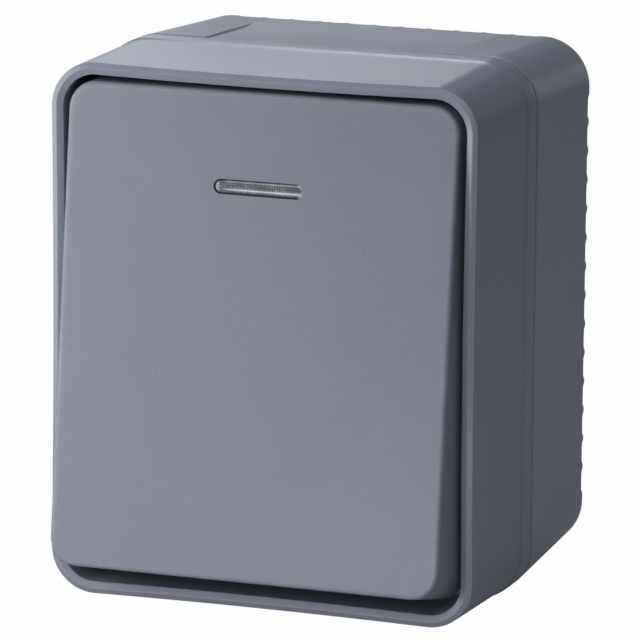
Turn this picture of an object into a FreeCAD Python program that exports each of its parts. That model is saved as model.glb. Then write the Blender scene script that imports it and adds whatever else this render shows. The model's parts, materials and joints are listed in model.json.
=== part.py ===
"""Surface-mounted weatherproof rocker switch with an indicator window, in millimetres.

X runs to the right seen from the front, Y into the wall and Z up. The wall plane is Y = 0 and
the switch stands out of it towards -Y. A depth is a distance out from the wall: Y = -depth.
"""
import FreeCAD, Part
import math
import os

Vec = FreeCAD.Vector

# Outline of the case where box and cover meet
case_width = 66.5
case_height = 80.0
case_corner = 7.2
joint_gap = 0.5

# Back box
box_depth = 27.4
box_draft = 1.2
box_wall = 2.8
back_wall = 2.0
back_recess = 1.2
land_width = 3.0
scallop_pitch = 4.4
scallop_width = 2.6
scallop_depth = 0.7
scallop_bite = 1.0
pad_width = 38.0
pad_depth = 1.0
scoop_width = 37.6
scoop_sink = 0.5
scoop_rear = 3.5
scoop_corner = 5.5
scoop_ramp = 4.5
knockout_skin = 1.4

# Wall fixing holes
fixing_spacing_x = 40.0
fixing_spacing_z = 54.0
fixing_radius = 2.2
fixing_pad_radius = 5.0

# Cable entry in the underside
entry_radius = 8.0
entry_depth = 14.5
entry_seat_height = 3.2
grommet_flange = 2.2
grommet_flange_thick = 1.2
grommet_lip = 1.6
grommet_skin = 0.8
grommet_relief = 0.3
grommet_fit = 0.05

# Seal in the mouth of the box
seal_inset = 1.7
seal_seat = 2.0

# Front cover
cover_length = 24.9
band_chamfer_length = 1.6
band_chamfer_drop = 0.1
band_flat_length = 1.6
shoulder_length = 1.4
shoulder_drop = 0.22
rim_inset = 0.5
rim_facet_width = 0.8
rim_facet_drop = 0.3
rim_bevel_width = 0.98
rim_bevel_drop = 0.4
side_bow = 0.24
cover_wall = 3.0
floor_thick = 2.0
floor_clearance = 0.9
floor_opening_margin = 1.4
floor_opening_height = 47.0
floor_opening_corner = 3.0

# Screws that hold the cover, and the posts and bosses they run through
cover_screw_inset = 7.6
cover_boss_radius = 3.0
cover_post_radius = 3.6
cover_boss_drop = 0.5
cover_screw_bite = 11.0

# Screws in general
screw_radius = 1.5
screw_head_radius = 2.8
screw_head_height = 1.8
screw_fit = 0.05
screw_clearance = 0.2
screw_slot_width = 0.9
screw_slot_depth = 0.8
screw_tip_room = 2.0

# Rocker
pivot_drop = 11.0
rocker_tilt = 6.32
face_rise = 14.7
rocker_base_gap = 0.65
rocker_side_draft = 0.4
rocker_end_gap = 0.92
rocker_corner = 4.1
rocker_skirt = 12.0
rocker_wall = 1.8
rocker_face_thick = 2.0
rocker_edge_round = 0.5
rib_offset = 20.0
rib_thick = 1.2
rib_height = 5.0
rib_end_gap = 5.0

# Indicator window in the rocker
lens_length = 14.1
lens_width = 2.1
lens_drop = 13.8
lens_fit = 0.05
lens_sink = 0.25
lens_flange = 1.2
lens_flange_thick = 0.8

# Cradle that carries the rocker on its trunnions
cradle_width = 27.6
cradle_height = 28.0
cradle_plate_rise = 5.0
cradle_plate_thick = 2.0
cheek_thick = 3.0
cheek_radius = 4.5
trunnion_radius = 2.0
trunnion_fit = 0.05
bearing_gap = 0.3
hub_wall = 1.6
hub_inset = 1.8

# Sprung plunger inside the cradle's stem
stem_radius = 3.4
plunger_radius = 2.0
plunger_nose = 1.3
plunger_fit = 0.1
plunger_tail = 6.0
plunger_clearance = 0.3
spring_wire = 0.4
spring_coils = 3
spring_length = 5.0
stem_clearance = 0.8

# Insulating base and cap of the mechanism
mechanism_standoff = 8.8
mechanism_width = 40.0
mechanism_height = 44.0
mechanism_depth = 17.0
mechanism_wall = 2.0
mechanism_floor = 2.5
mechanism_corner = 2.0
cap_thick = 2.0
ear_thick = 3.0
ear_radius = 4.5
mechanism_screw_inset = 4.8
mechanism_post_radius = 2.7
mechanism_screw_bite = 6.0
support_width = 6.8
support_tip_room = 1.0
plunger_slot_margin = 1.6

# Contacts and terminals
strip_thick = 1.0
lead_strip_width = 2.5
strip_end_gap = 0.5
link_width = 6.0
terminal_x = 12.0
terminal_z = 13.5
strip_width = 7.5
clamp_size = 8.0
clamp_wall = 1.0
clamp_height = 8.0
clamp_front = 2.0
terminal_screw_radius = 1.9
terminal_head_radius = 2.9
terminal_head_height = 2.2
terminal_screw_reach = 5.5
wire_entry = 6.0
access_clearance = 0.3
blade_axis_height = 10.0
blade_width = 6.0
blade_half_length = 12.5
blade_thick = 0.8
blade_tilt = 8.0
blade_pin_radius = 0.9
blade_pin_root = 0.6
blade_pin_fit = 0.05
blade_side_gap = 0.4
fork_half = 2.0
tip_offset = 11.0
tip_radius = 1.6
tip_thick = 0.8
rivet_radius = 0.8
tip_gap = 0.4
fixed_tip_thick = 1.2
shelf_width = 5.0

# Indicator lamp
lamp_radius = 2.2
lamp_length = 9.0
lamp_z = 18.5
lamp_fit = 0.05
holder_width = 7.0
holder_height = 3.5
holder_margin = 1.0
lamp_axis_height = 4.2
lead_radius = 0.35
lead_x = 10.5
lead_pin_radius = 0.28
lead_hole_fit = 0.25
resistor_radius = 1.1
resistor_length = 4.5
resistor_room = 0.5

# Levels worked out from the sizes above
back_face = back_recess + back_wall
cover_rear = box_depth + joint_gap
rim_depth = cover_rear + cover_length
pivot_depth = rim_depth - pivot_drop
face_depth = pivot_depth + face_rise
skirt_depth = face_depth - rocker_skirt
pad_level = case_height / 2 - pad_depth
cover_boss_depth = box_depth - cover_boss_drop
cover_screw_x = case_width / 2 - cover_screw_inset
cover_screw_z = case_height / 2 - cover_screw_inset
base_rear = back_face + mechanism_standoff
base_floor = base_rear + mechanism_floor
cap_rear = base_rear + mechanism_depth
cap_front = cap_rear + cap_thick
strip_front = base_floor + strip_thick
clamp_top = strip_front + clamp_height
blade_depth = base_floor + blade_axis_height
mechanism_screw_x = mechanism_width / 2 - mechanism_screw_inset
mechanism_screw_z = mechanism_height / 2 - mechanism_screw_inset
lamp_depth = cap_front + lamp_axis_height

# Window of the cover and outline of the rocker
crest_inset = rim_inset + rim_facet_width
window_inset = crest_inset + rim_bevel_width
window_width = case_width - 2 * window_inset
window_height = case_height - 2 * window_inset
tilt = math.radians(rocker_tilt)
rocker_base_width = window_width - 2 * rocker_base_gap
rocker_face_width = rocker_base_width - 2 * rocker_side_draft
pressed_edge = window_height / 2 - rocker_end_gap
rocker_face_height = 2 * (pressed_edge - face_rise * math.sin(tilt)) / math.cos(tilt)
rocker_base_height = rocker_face_height + 2 * rocker_skirt * math.tan(tilt)
skirt_rise = face_rise - rocker_skirt
lowest_skirt = rocker_base_height / 2 * math.sin(tilt) - skirt_rise * math.cos(tilt)
floor_front = pivot_depth - lowest_skirt - floor_clearance
floor_rear = floor_front - floor_thick
lens_z = rocker_face_height / 2 - lens_drop

# Cradle, ears and plunger along the pivot
cheek_outer = cradle_width / 2
ear_inner = cheek_outer + bearing_gap
ear_outer = ear_inner + ear_thick
plate_rear = pivot_depth + cradle_plate_rise
plate_front = plate_rear + cradle_plate_thick
stem_end = cap_front + stem_clearance
plunger_tip = blade_depth + blade_thick / 2 + plunger_clearance
plunger_rear = stem_end + plunger_tail
bore_end = plunger_rear + spring_length


def outline(width, height, corner, depth, bow=0.0):
    """Rounded rectangle at a depth, with its sides drawn in by the bow at their middles."""
    half_w = width / 2
    half_h = height / 2
    flat_w = half_w - corner
    flat_h = half_h - corner
    diagonal = corner * math.sqrt(0.5)
    edges = []
    for turn in range(4):
        angle = turn * math.pi / 2
        across = (half_w, flat_w, flat_h) if turn % 2 == 0 else (half_h, flat_h, flat_w)
        reach, centre, run = across

        def place(out, along):
            x = out * math.cos(angle) - along * math.sin(angle)
            z = out * math.sin(angle) + along * math.cos(angle)
            return Vec(x, -depth, z)

        start = place(reach, -run)
        end = place(reach, run)
        if bow > 0:
            edges.append(Part.Arc(start, place(reach - bow, 0), end).toShape())
        else:
            edges.append(Part.LineSegment(start, end).toShape())
        middle = place(centre + diagonal, run + diagonal)
        edges.append(Part.Arc(end, middle, place(centre, run + corner)).toShape())
    return Part.Wire(edges)


def case_outline(depth, inset, bow=0.0):
    """Outline of the case drawn in by an inset on every side."""
    return outline(case_width - 2 * inset, case_height - 2 * inset, case_corner - inset, depth, bow)


def prism(wire, length):
    """Solid from an outline, drawn out from the wall by a length."""
    return Part.Face(wire).extrude(Vec(0, -length, 0))


def loft(wires):
    """Solid with straight sides through a row of outlines."""
    return Part.makeLoft(wires, True, True)


def block(x0, x1, near, far, z0, z1):
    """Box between two depths."""
    return Part.makeBox(x1 - x0, far - near, z1 - z0, Vec(x0, -far, z0))


def rod(radius, near, far, x=0.0, z=0.0):
    """Cylinder along Y between two depths."""
    return Part.makeCylinder(radius, far - near, Vec(x, -near, z), Vec(0, -1, 0))


def cross_rod(radius, x0, x1, depth, z=0.0):
    """Cylinder along X."""
    return Part.makeCylinder(radius, x1 - x0, Vec(x0, -depth, z), Vec(1, 0, 0))


def stadium(length, width, near, far, z):
    """Long hole or bar with round ends, along X."""
    half = (length - width) / 2
    bar = block(-half, half, near, far, z - width / 2, z + width / 2)
    return bar.fuse([rod(width / 2, near, far, -half, z), rod(width / 2, near, far, half, z)]).removeSplitter()


def both_sides(shape):
    """A shape and its copy turned half round about Y."""
    turned = shape.copy()
    turned.rotate(Vec(0, 0, 0), Vec(0, 1, 0), 180)
    return [shape, turned]


def tilted(shape):
    """Turn a piece of the rocker from level to its resting place, upper end pressed in."""
    turned = shape.copy()
    turned.rotate(Vec(0, -pivot_depth, 0), Vec(1, 0, 0), -rocker_tilt)
    return turned


def swung(shape):
    """Turn a piece of the contact blade from level to its resting place, lower end in."""
    turned = shape.copy()
    turned.rotate(Vec(0, -blade_depth, 0), Vec(1, 0, 0), blade_tilt)
    return turned


def box_outline(depth, inset):
    """Outline of the drafted box at a depth, drawn in by an inset, with even corners."""
    drawn = inset + box_draft * (1 - depth / box_depth)
    return outline(case_width - 2 * drawn, case_height - 2 * drawn, case_corner - inset, depth)


def scoop_outline(rise, rear):
    """Outline with round rear corners, raised by a height above the drafted top of the box."""
    half = scoop_width / 2
    front = box_depth + joint_gap
    eased = scoop_corner * (1 - math.sqrt(0.5))

    def place(x, depth):
        top = case_height / 2 - box_draft * (1 - depth / box_depth)
        return Vec(x, -depth, top + rise)

    right = [place(half, rear + scoop_corner), place(half - eased, rear + eased), place(half - scoop_corner, rear)]
    left = [Vec(-point.x, point.y, point.z) for point in reversed(right)]
    return Part.Wire([
        Part.LineSegment(place(half, front), right[0]).toShape(),
        Part.Arc(*right).toShape(),
        Part.LineSegment(right[2], left[0]).toShape(),
        Part.Arc(*left).toShape(),
        Part.LineSegment(left[2], place(-half, front)).toShape(),
        Part.LineSegment(place(-half, front), place(half, front)).toShape(),
    ])


def scoop():
    """Cutter for the shallow field sunk into the top of the box, with a ramp at its rear."""
    return loft([scoop_outline(-scoop_sink, scoop_rear + scoop_ramp),
                 scoop_outline(scoop_sink, scoop_rear - scoop_ramp)])


def scallop(reach, along):
    """Notch with sloping ends in the rear edge of the side that faces +X."""
    wide = scallop_width / 2
    narrow = scallop_width / 4
    outer = 2 * wide - narrow
    corners = [(-outer, -scallop_depth), (-narrow, scallop_depth)]
    corners += [(narrow, scallop_depth), (outer, -scallop_depth)]
    points = [Vec(reach - scallop_bite, -depth, along + offset) for offset, depth in corners]
    return Part.Face(Part.makePolygon(points + points[:1])).extrude(Vec(2 * scallop_bite, 0, 0))


def scallop_cutters():
    """Notches along the four straight stretches of the box's rear edge."""
    half_w = case_width / 2 - box_draft
    half_h = case_height / 2 - box_draft
    cutters = []
    for reach, run, turn in ((half_w, half_h - case_corner, 0), (half_h, half_w - case_corner, 90)):
        count = int(2 * run / scallop_pitch)
        for index in range(count):
            notch = scallop(reach, (index - (count - 1) / 2) * scallop_pitch)
            notch.rotate(Vec(0, 0, 0), Vec(0, 1, 0), turn)
            cutters += both_sides(notch)
    return cutters


def back_box():
    """Drafted box with a scalloped rear edge, a field on top, fixing holes and screw bosses."""
    shell = loft([box_outline(0, 0), box_outline(box_depth, 0)])
    cavity = loft([box_outline(back_face, box_wall), box_outline(box_depth, box_wall)])
    seat = prism(case_outline(box_depth - seal_seat, seal_inset), seal_seat)
    recess = prism(box_outline(0, land_width), back_recess)
    pad = block(-pad_width / 2, pad_width / 2, 0, box_depth, -case_height / 2, -pad_level)
    entry_base = Vec(0, -entry_depth, -pad_level)
    entry_seat_radius = entry_radius + grommet_flange + grommet_fit
    entry_seat = Part.makeCylinder(entry_seat_radius, entry_seat_height, entry_base)
    shell = shell.cut([cavity, pad, scoop()]).fuse(entry_seat).cut([seat, recess] + scallop_cutters())

    added = []
    for x in (-fixing_spacing_x / 2, fixing_spacing_x / 2):
        for z in (-fixing_spacing_z / 2, fixing_spacing_z / 2):
            added.append(rod(fixing_pad_radius, 0, back_face, x, z))
    added += both_sides(rod(cover_boss_radius, back_recess, cover_boss_depth, -cover_screw_x, cover_screw_z))
    low = mechanism_screw_z - support_width / 2
    high = mechanism_screw_z + support_width / 2
    for left in (mechanism_screw_x - support_width / 2, -mechanism_screw_x - support_width / 2):
        added += both_sides(block(left, left + support_width, back_recess, base_rear, low, high))
    shell = shell.fuse(added)

    hole_radius = screw_radius + screw_fit
    removed = []
    for x in (-fixing_spacing_x / 2, fixing_spacing_x / 2):
        for z in (-fixing_spacing_z / 2, fixing_spacing_z / 2):
            removed.append(rod(fixing_radius, 0, back_face, x, z))
    deep = cover_boss_depth - cover_screw_bite - screw_tip_room
    removed += both_sides(rod(hole_radius, deep, cover_boss_depth, -cover_screw_x, cover_screw_z))
    deep = base_rear - mechanism_screw_bite - support_tip_room
    removed += both_sides(rod(hole_radius, deep, base_rear, mechanism_screw_x, mechanism_screw_z))
    removed.append(Part.makeCylinder(entry_radius, entry_seat_height, entry_base))
    skin_base = Vec(0, -entry_depth, pad_level - knockout_skin - box_wall)
    removed.append(Part.makeCylinder(entry_radius, box_wall, skin_base))
    return shell.cut(removed).removeSplitter()


def cable_grommet():
    """Rubber plug with a thin skin, pressed into the cable entry from inside."""
    neck = entry_radius - grommet_fit
    flange = neck + grommet_flange
    throat = neck - grommet_lip
    top = entry_seat_height + grommet_flange_thick
    skin = grommet_relief + grommet_skin
    profile = [(0, skin), (throat, skin), (throat, top), (flange, top), (flange, entry_seat_height)]
    profile += [(neck, entry_seat_height), (neck, grommet_relief), (0, grommet_relief)]
    points = [Vec(radius, -entry_depth, height - pad_level) for radius, height in profile]
    face = Part.Face(Part.makePolygon(points + points[:1]))
    return face.revolve(Vec(0, -entry_depth, 0), Vec(0, 0, 1), 360)


def box_seal():
    """Rubber ring between the box and the cover."""
    near = box_depth - seal_seat
    outer = prism(case_outline(near, seal_inset), seal_seat + joint_gap)
    return outer.cut(prism(case_outline(near, box_wall), seal_seat + joint_gap))


def cover_post(radius, near, far):
    """Pair of rods on the axes of the cover's screws."""
    return both_sides(rod(radius, near, far, -cover_screw_x, cover_screw_z))


def front_cover():
    """Tapered cover with a banded foot, a rim of two facets and a well for the rocker."""
    shoulder = cover_rear + band_chamfer_length + band_flat_length
    foot = [(cover_rear, band_chamfer_drop), (cover_rear + band_chamfer_length, 0.0), (shoulder, 0.0)]
    wires = []
    for depth, inset in foot:
        wires.append(outline(case_width - 2 * inset, case_height - 2 * inset, case_corner, depth))
    taper_width = case_width - 2 * shoulder_drop
    taper_height = case_height - 2 * shoulder_drop
    wires.append(outline(taper_width, taper_height, case_corner - rim_inset, shoulder + shoulder_length))
    wires.append(case_outline(rim_depth - rim_facet_drop, rim_inset, side_bow))
    wires.append(case_outline(rim_depth, crest_inset, side_bow))
    shell = loft(wires)
    bevel_depth = rim_depth - rim_bevel_drop
    bevel = loft([case_outline(bevel_depth, window_inset, side_bow),
                  case_outline(rim_depth, crest_inset, side_bow)])
    well = prism(case_outline(floor_front, window_inset, side_bow), bevel_depth - floor_front)
    cavity = prism(case_outline(cover_rear, cover_wall), floor_rear - cover_rear)
    opening_width = 2 * (ear_outer + floor_opening_margin)
    opening = outline(opening_width, floor_opening_height, floor_opening_corner, floor_rear)
    shell = shell.cut([bevel, well, cavity, prism(opening, floor_thick)])
    shell = shell.fuse(cover_post(cover_post_radius, cover_boss_depth, floor_front))
    head_seat = floor_front - screw_head_height
    hole = screw_radius + screw_clearance
    shell = shell.cut(cover_post(hole, cover_boss_depth, head_seat))
    shell = shell.cut(cover_post(screw_head_radius + screw_clearance, head_seat, floor_front))
    return shell.removeSplitter()


def screw(x, z, near, head_seat):
    """Pan-head screw along Y with a driver slot."""
    body = rod(screw_radius, near, head_seat, x, z)
    top = head_seat + screw_head_height
    head = rod(screw_head_radius, head_seat, top, x, z)
    half = screw_slot_width / 2
    slot = block(x - screw_head_radius, x + screw_head_radius, top - screw_slot_depth, top, z - half, z + half)
    return body.fuse(head).cut(slot).removeSplitter()


def cover_screws():
    """Two screws that hold the cover to the box."""
    near = cover_boss_depth - cover_screw_bite
    return both_sides(screw(-cover_screw_x, cover_screw_z, near, floor_front - screw_head_height))


def rocker_outline(depth, inset):
    """Outline of the tapered rocker at a depth, drawn in by an inset."""
    share = (face_depth - depth) / rocker_skirt
    width = rocker_face_width + share * (rocker_base_width - rocker_face_width)
    height = rocker_face_height + share * (rocker_base_height - rocker_face_height)
    return outline(width - 2 * inset, height - 2 * inset, rocker_corner - inset, depth)


def rocker():
    """Hollow rocker with rounded edges, a hub that sits on the cradle, ribs and a window slot."""
    eased = rocker_edge_round * (1 - math.sqrt(0.5))
    rows = [(skirt_depth, 0), (face_depth - rocker_edge_round, 0)]
    rows += [(face_depth - eased, eased), (face_depth, rocker_edge_round)]
    body = loft([rocker_outline(depth, inset) for depth, inset in rows])
    under = face_depth - rocker_face_thick
    body = body.cut(loft([rocker_outline(skirt_depth, rocker_wall), rocker_outline(under, rocker_wall)]))
    hub_w = cradle_width - 2 * hub_inset
    hub_h = cradle_height - 2 * hub_inset
    hub = prism(outline(hub_w, hub_h, hub_wall, plate_front), under - plate_front)
    hub_core = outline(hub_w - 2 * hub_wall, hub_h - 2 * hub_wall, hub_wall / 2, plate_front)
    added = [hub.cut(prism(hub_core, under - plate_front))]
    rib_reach = rocker_face_height / 2 - rocker_wall - rib_end_gap
    rib = block(rib_offset, rib_offset + rib_thick, under - rib_height, under, -rib_reach, rib_reach)
    body = body.fuse(added + both_sides(rib))
    slot = stadium(lens_length + 2 * lens_fit, lens_width + 2 * lens_fit, under, face_depth, lens_z)
    return tilted(body.cut(slot).removeSplitter())


def rocker_lens():
    """Clear window with a flange behind the rocker's face."""
    under = face_depth - rocker_face_thick
    head = stadium(lens_length, lens_width, under, face_depth - lens_sink, lens_z)
    grown = 2 * lens_flange
    flange = stadium(lens_length + grown, lens_width + grown, under - lens_flange_thick, under, lens_z)
    return tilted(head.fuse(flange).removeSplitter())


def rocker_cradle():
    """Carrier with two trunnions, a seat for the rocker and a bored stem for the plunger."""
    half_h = cradle_height / 2
    plate = block(-cheek_outer, cheek_outer, plate_rear, plate_front, -half_h, half_h)
    added = []
    for x0, x1, pin0, pin1 in (
        (cheek_outer - cheek_thick, cheek_outer, cheek_outer, ear_outer),
        (-cheek_outer, cheek_thick - cheek_outer, -ear_outer, -cheek_outer),
    ):
        added.append(block(x0, x1, pivot_depth, plate_rear, -cheek_radius, cheek_radius))
        added.append(cross_rod(cheek_radius, x0, x1, pivot_depth))
        added.append(cross_rod(trunnion_radius, pin0, pin1, pivot_depth))
    added.append(rod(stem_radius, stem_end, plate_rear))
    body = plate.fuse(added).removeSplitter()
    return tilted(body.cut(rod(plunger_radius + plunger_fit, stem_end, bore_end)))


def detent_plunger():
    """Plunger with a blunt tapered nose that rides on the contact blade."""
    nose = plunger_tip + plunger_nose
    shaft = rod(plunger_radius, nose, plunger_rear)
    blunt = plunger_radius - plunger_nose
    taper = Part.makeCone(plunger_radius, blunt, plunger_nose, Vec(0, -nose, 0), Vec(0, 1, 0))
    return tilted(shaft.fuse(taper).removeSplitter())


def detent_spring():
    """Coil spring of square wire behind the plunger."""
    ring_radius = plunger_radius - 2 * spring_wire
    height = spring_length - 2 * spring_wire
    helix = Part.makeHelix(height / spring_coils, height, ring_radius)
    half = spring_wire / 2
    corners = [(-half, -half), (half, -half), (half, half), (-half, half)]
    points = [Vec(ring_radius + across, 0, along) for across, along in corners]
    coil = Part.Wire(helix).makePipeShell([Part.makePolygon(points + points[:1])], True, True)
    coil.rotate(Vec(0, 0, 0), Vec(1, 0, 0), 90)
    coil.translate(Vec(0, -plunger_rear - spring_wire, 0))
    return tilted(coil)


def mechanism_base():
    """Open insulating tray with screw posts and two wire entries."""
    wire = outline(mechanism_width, mechanism_height, mechanism_corner, base_rear)
    tray = prism(wire, mechanism_depth)
    inner_w = mechanism_width - 2 * mechanism_wall
    inner_h = mechanism_height - 2 * mechanism_wall
    inner = outline(inner_w, inner_h, mechanism_corner / 2, base_floor)
    tray = tray.cut(prism(inner, mechanism_depth - mechanism_floor))
    posts = both_sides(rod(mechanism_post_radius, base_rear, cap_rear, mechanism_screw_x, mechanism_screw_z))
    tray = tray.fuse(posts)
    hole = screw_radius + screw_clearance
    holes = both_sides(rod(hole, base_rear, cap_rear, mechanism_screw_x, mechanism_screw_z))
    near = strip_front + clamp_wall
    half = wire_entry / 2
    mouth = block(-terminal_x - half, -terminal_x + half, near, near + wire_entry,
                  mechanism_height / 2 - 2 * mechanism_wall, mechanism_height / 2)
    return tray.cut(holes + both_sides(mouth)).removeSplitter()


def mechanism_cap():
    """Cap of the mechanism with the two bearing ears of the rocker."""
    cap = prism(outline(mechanism_width, mechanism_height, mechanism_corner, cap_rear), cap_thick)
    for x in (ear_inner, -ear_outer):
        ear = block(x, x + ear_thick, cap_rear, pivot_depth, -ear_radius, ear_radius)
        cap = cap.fuse([ear, cross_rod(ear_radius, x, x + ear_thick, pivot_depth)])
    swing = (pivot_depth - cap_rear) * math.tan(tilt)
    half_slot = plunger_radius / math.cos(tilt) + swing + plunger_slot_margin
    slot_side = plunger_radius + plunger_slot_margin
    removed = [block(-slot_side, slot_side, cap_rear, cap_front, -half_slot, half_slot)]
    removed.append(cross_rod(trunnion_radius + trunnion_fit, -ear_outer, ear_outer, pivot_depth))
    hole = screw_radius + screw_clearance
    removed += both_sides(rod(hole, cap_rear, cap_front, mechanism_screw_x, mechanism_screw_z))
    access = terminal_head_radius + access_clearance
    removed += both_sides(block(-terminal_x - access, -terminal_x + access, cap_rear, cap_front,
                                terminal_z - access, terminal_z + access))
    half_hole = lead_radius + lead_hole_fit
    for x in (-lead_x, lead_x):
        removed.append(block(x - half_hole, x + half_hole, cap_rear, cap_front,
                             lamp_z - half_hole, lamp_z + half_hole))
    return cap.cut(removed).removeSplitter()


def mechanism_screws():
    """Two long screws through cap and base into the box."""
    near = base_rear - mechanism_screw_bite
    return both_sides(screw(mechanism_screw_x, mechanism_screw_z, near, cap_front))


def line_contact():
    """Supply strip with the fork that the contact blade rocks in."""
    inner = blade_width / 2 + blade_side_gap
    outer = inner + strip_thick
    left = -terminal_x - strip_width / 2
    half_link = link_width / 2
    top = mechanism_height / 2 - mechanism_wall - strip_end_gap
    strip = block(left, outer, base_floor, strip_front, -half_link, half_link)
    added = [block(left, left + strip_width, base_floor, strip_front, -half_link, top)]
    for x in (inner, -outer):
        added.append(block(x, x + strip_thick, base_floor, blade_depth, -fork_half, fork_half))
        added.append(cross_rod(fork_half, x, x + strip_thick, blade_depth))
    hole = cross_rod(blade_pin_radius + blade_pin_fit, -outer, outer, blade_depth)
    return strip.fuse(added).cut(hole).removeSplitter()


def tip_place():
    """Resting place of the centre of the blade's contact face, as depth and Z."""
    angle = math.radians(blade_tilt)
    back = blade_thick / 2 + tip_thick
    depth = blade_depth - back * math.cos(angle) - tip_offset * math.sin(angle)
    z = back * math.sin(angle) - tip_offset * math.cos(angle)
    return depth, z


def shelf_front():
    """Depth of the front of the shelf that carries the fixed contact."""
    return tip_place()[0] - tip_gap - fixed_tip_thick


def load_contact():
    """Switched strip with a raised shelf below the blade's lower end."""
    right = terminal_x + strip_width / 2
    low = -terminal_z - clamp_size / 2
    high = -terminal_z + strip_width / 2
    half = shelf_width / 2
    shelf_z = tip_place()[1]
    strip = block(-half, right, base_floor, strip_front, low, high)
    top = mechanism_height / 2 - mechanism_wall - strip_end_gap
    half_riser = lead_strip_width / 2
    riser = block(lead_x - half_riser, lead_x + half_riser, base_floor, strip_front, low, top)
    front = shelf_front()
    leg_z = shelf_z - half - strip_thick
    leg = block(-half, half, base_floor, front, leg_z, leg_z + strip_thick)
    shelf = block(-half, half, front - strip_thick, front, leg_z, shelf_z + half)
    hole = rod(rivet_radius, front - strip_thick, front, 0, shelf_z)
    return strip.fuse([riser, leg, shelf]).cut(hole).removeSplitter()


def fixed_contact():
    """Riveted contact on the load strip's shelf."""
    front = shelf_front()
    z = tip_place()[1]
    button = rod(tip_radius, front, front + fixed_tip_thick, 0, z)
    return button.fuse(rod(rivet_radius, front - strip_thick, front, 0, z)).removeSplitter()


def contact_blade():
    """Rocking blade with pins that turn in the fork."""
    half = blade_width / 2
    near = blade_depth - blade_thick / 2
    far = near + blade_thick
    blade = block(-half, half, near, far, -blade_half_length, blade_half_length)
    reach = half + blade_side_gap + strip_thick
    root = half - blade_pin_root
    blade = blade.fuse(both_sides(cross_rod(blade_pin_radius, root, reach, blade_depth)))
    return swung(blade.cut(rod(rivet_radius, near, far, 0, -tip_offset)).removeSplitter())


def blade_contact():
    """Riveted contact under the blade's lower end."""
    near = blade_depth - blade_thick / 2
    button = rod(tip_radius, near - tip_thick, near, 0, -tip_offset)
    return swung(button.fuse(rod(rivet_radius, near, near + blade_thick, 0, -tip_offset)).removeSplitter())


def terminal_clamps():
    """Two wire cages that stand on the strips."""
    half = clamp_size / 2
    left = -terminal_x - half
    right = -terminal_x + half
    low = terminal_z - half
    high = terminal_z + half
    cage = block(left, right, strip_front, clamp_top, low, high)
    near = strip_front + clamp_wall
    throat = block(left + clamp_wall, right - clamp_wall, near, clamp_top - clamp_front, low, high)
    hole = rod(terminal_screw_radius + screw_fit, clamp_top - clamp_front, clamp_top, -terminal_x, terminal_z)
    return both_sides(cage.cut([throat, hole]))


def terminal_screws():
    """Two slotted screws in the wire cages."""
    near = clamp_top - terminal_screw_reach
    top = clamp_top + terminal_head_height
    body = rod(terminal_screw_radius, near, clamp_top, -terminal_x, terminal_z)
    head = rod(terminal_head_radius, clamp_top, top, -terminal_x, terminal_z)
    half = screw_slot_width / 2
    slot = block(-terminal_x - terminal_head_radius, -terminal_x + terminal_head_radius,
                 top - screw_slot_depth, top, terminal_z - half, terminal_z + half)
    return both_sides(body.fuse(head).cut(slot).removeSplitter())


def lamp_holder():
    """Block with a trough for the indicator lamp."""
    half = lamp_length / 2 + holder_margin
    half_w = holder_width / 2
    body = block(-half, half, cap_front, cap_front + holder_height, lamp_z - half_w, lamp_z + half_w)
    return body.cut(cross_rod(lamp_radius + lamp_fit, -half, half, lamp_depth, lamp_z))


def indicator_lamp():
    """Small glass lamp lying along X with tapered ends."""
    half = lamp_length / 2
    neck = lamp_radius / 2
    profile = [(-half, 0), (-half, neck), (neck - half, lamp_radius)]
    profile += [(half - neck, lamp_radius), (half, neck), (half, 0)]
    points = [Vec(x, -lamp_depth, lamp_z + radius) for x, radius in profile]
    face = Part.Face(Part.makePolygon(points + points[:1]))
    return face.revolve(Vec(0, -lamp_depth, lamp_z), Vec(1, 0, 0), 360)


def lamp_lead(side):
    """Wire from one end of the lamp, led back to its strip."""
    x = side * lead_x
    inner = side * lamp_length / 2
    span = cross_rod(lead_pin_radius, min(inner, x), max(inner, x), lamp_depth, lamp_z)
    return rod(lead_radius, strip_front, lamp_depth + lead_radius, x, lamp_z).fuse(span).removeSplitter()


def lamp_leads():
    """Two wires from the lamp to the strips; the left one is broken by the resistor."""
    near, far = resistor_span()
    gap = rod(2 * lead_radius, near, far, -lead_x, lamp_z)
    return lamp_lead(-1).cut(gap).Solids + [lamp_lead(1)]


def resistor_span():
    """Depths of the two ends of the series resistor."""
    far = cap_rear - resistor_room
    return far - resistor_length, far


def lamp_resistor():
    """Series resistor of the lamp."""
    near, far = resistor_span()
    return rod(resistor_radius, near, far, -lead_x, lamp_z)


def save(name, shape):
    """Write one piece, or a group of like pieces, under its node's name."""
    if isinstance(shape, list):
        shape = Part.makeCompound(shape)
    shape.exportStep("parts/" + name + ".step")


PIECES = (
    back_box, cable_grommet, box_seal, front_cover, cover_screws,
    rocker, rocker_lens, rocker_cradle, detent_plunger, detent_spring,
    mechanism_base, mechanism_cap, mechanism_screws,
    line_contact, load_contact, fixed_contact, contact_blade, blade_contact,
    terminal_clamps, terminal_screws,
    lamp_holder, indicator_lamp, lamp_leads, lamp_resistor,
)

os.makedirs("parts", exist_ok=True)
for piece in PIECES:
    save(piece.__name__, piece())
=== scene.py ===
"""Finished look of the weatherproof rocker switch: moulded shells, materials, light and camera.

Lengths named below are in millimetres and become metres in the meshes. X runs to the right seen
from the front, Y into the wall and Z up. A depth is a distance out from the wall: Y = -depth.
"""
import json
import math

import bmesh
import bpy
from mathutils import Matrix, Vector


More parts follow.
